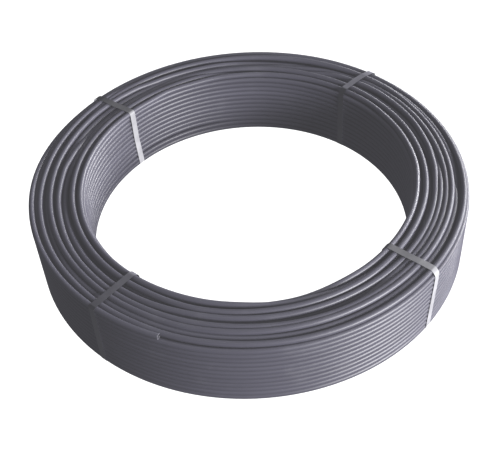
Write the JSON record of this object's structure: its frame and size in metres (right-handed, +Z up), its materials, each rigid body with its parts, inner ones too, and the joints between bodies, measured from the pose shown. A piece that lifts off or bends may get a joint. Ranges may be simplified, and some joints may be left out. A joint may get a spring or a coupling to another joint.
{
  "type": "coil of plastic pipe",
  "caption": "Hollow coil of plastic heating pipe lying flat, wound in nested layers and tied with strapping bands.",
  "frame": {"origin": "centre of the footprint, on the floor under the straps", "axes": "+Z up along the coil's axis; the outer end of the pipe lies at 247 degrees from +X, seen from above"},
  "size_m": [1.22, 1.22, 0.216],
  "materials": {
    "pipe": "satin, dark grey PE-RT",
    "strap": "satin, grey polypropylene strapping"
  },
  "bodies": {
    "root": {"pipe_coil": "pipe", "strap_1": "strap", "strap_2": "strap", "strap_3": "strap", "strap_4": "strap"}
  },
  "joints": []
}
